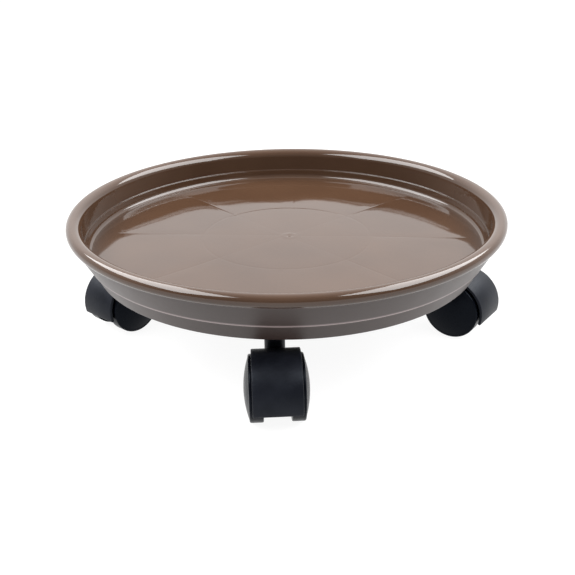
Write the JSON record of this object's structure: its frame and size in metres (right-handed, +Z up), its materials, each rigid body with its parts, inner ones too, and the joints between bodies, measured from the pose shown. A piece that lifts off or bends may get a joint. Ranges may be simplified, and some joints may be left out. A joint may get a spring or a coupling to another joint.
{
  "type": "plant pot caddy",
  "caption": "Round moulded tray with a rolled rim and a recessed floor, carried on swivelling twin-wheel casters, for rolling a heavy plant pot about.",
  "frame": {"origin": "on the ground, under the tray's centre", "axes": "+Z up; -Y is the front, under which one caster stands; +X is the right-hand side seen from the front"},
  "size_m": [0.3054, 0.3054, 0.0915],
  "materials": {
    "tray_plastic": "gloss moulded brown",
    "caster_plastic": "satin black, fine moulded grain",
    "wheel_plastic": "smooth black",
    "steel": "bright zinc plated"
  },
  "bodies": {
    "tray": {"tray": "tray_plastic", "front_stem": "steel", "right_stem": "steel", "rear_stem": "steel", "left_stem": "steel", "front_grip_ring": "steel", "right_grip_ring": "steel", "rear_grip_ring": "steel", "left_grip_ring": "steel"},
    "front_caster": {"front_caster_body": "caster_plastic", "front_axle": "steel"},
    "front_wheel_a": {"front_wheel_a": "wheel_plastic"},
    "front_wheel_b": {"front_wheel_b": "wheel_plastic"},
    "right_caster": {"right_caster_body": "caster_plastic", "right_axle": "steel"},
    "right_wheel_a": {"right_wheel_a": "wheel_plastic"},
    "right_wheel_b": {"right_wheel_b": "wheel_plastic"},
    "rear_caster": {"rear_caster_body": "caster_plastic", "rear_axle": "steel"},
    "rear_wheel_a": {"rear_wheel_a": "wheel_plastic"},
    "rear_wheel_b": {"rear_wheel_b": "wheel_plastic"},
    "left_caster": {"left_caster_body": "caster_plastic", "left_axle": "steel"},
    "left_wheel_a": {"left_wheel_a": "wheel_plastic"},
    "left_wheel_b": {"left_wheel_b": "wheel_plastic"}
  },
  "joints": [
    {"name": "front_swivel", "type": "hinge", "parent": "tray", "child": "front_caster", "pos_m": [-0.0082, -0.1116, 0.043], "axis": [0, 0, 1], "continuous": true},
    {"name": "front_roll_a", "type": "hinge", "parent": "front_caster", "child": "front_wheel_a", "pos_m": [-0.01929, -0.1292, 0.0205], "axis": [-0.9986, -0.0523, 0], "continuous": true},
    {"name": "front_roll_b", "type": "hinge", "parent": "front_caster", "child": "front_wheel_b", "pos_m": [0.00468, -0.12795, 0.0205], "axis": [-0.9986, -0.0523, 0], "continuous": true},
    {"name": "right_swivel", "type": "hinge", "parent": "tray", "child": "right_caster", "pos_m": [0.1116, -0.0082, 0.043], "axis": [0, 0, 1], "continuous": true},
    {"name": "right_roll_a", "type": "hinge", "parent": "right_caster", "child": "right_wheel_a", "pos_m": [0.11785, -0.02804, 0.0205], "axis": [-0.606, -0.7955, 0], "continuous": true},
    {"name": "right_roll_b", "type": "hinge", "parent": "right_caster", "child": "right_wheel_b", "pos_m": [0.13239, -0.00895, 0.0205], "axis": [-0.606, -0.7955, 0], "continuous": true},
    {"name": "rear_swivel", "type": "hinge", "parent": "tray", "child": "rear_caster", "pos_m": [0.0082, 0.1116, 0.043], "axis": [0, 0, 1], "continuous": true},
    {"name": "rear_roll_a", "type": "hinge", "parent": "rear_caster", "child": "rear_wheel_a", "pos_m": [0.0289, 0.1137, 0.0205], "axis": [0.6561, -0.7547, 0], "continuous": true},
    {"name": "rear_roll_b", "type": "hinge", "parent": "rear_caster", "child": "rear_wheel_b", "pos_m": [0.01315, 0.13181, 0.0205], "axis": [0.6561, -0.7547, 0], "continuous": true},
    {"name": "left_swivel", "type": "hinge", "parent": "tray", "child": "left_caster", "pos_m": [-0.1116, 0.0082, 0.043], "axis": [0, 0, 1], "continuous": true},
    {"name": "left_roll_a", "type": "hinge", "parent": "left_caster", "child": "left_wheel_a", "pos_m": [-0.13165, 0.00264, 0.0205], "axis": [-0.7738, 0.6334, 0], "continuous": true},
    {"name": "left_roll_b", "type": "hinge", "parent": "left_caster", "child": "left_wheel_b", "pos_m": [-0.11308, -0.01256, 0.0205], "axis": [-0.7738, 0.6334, 0], "continuous": true}
  ]
}
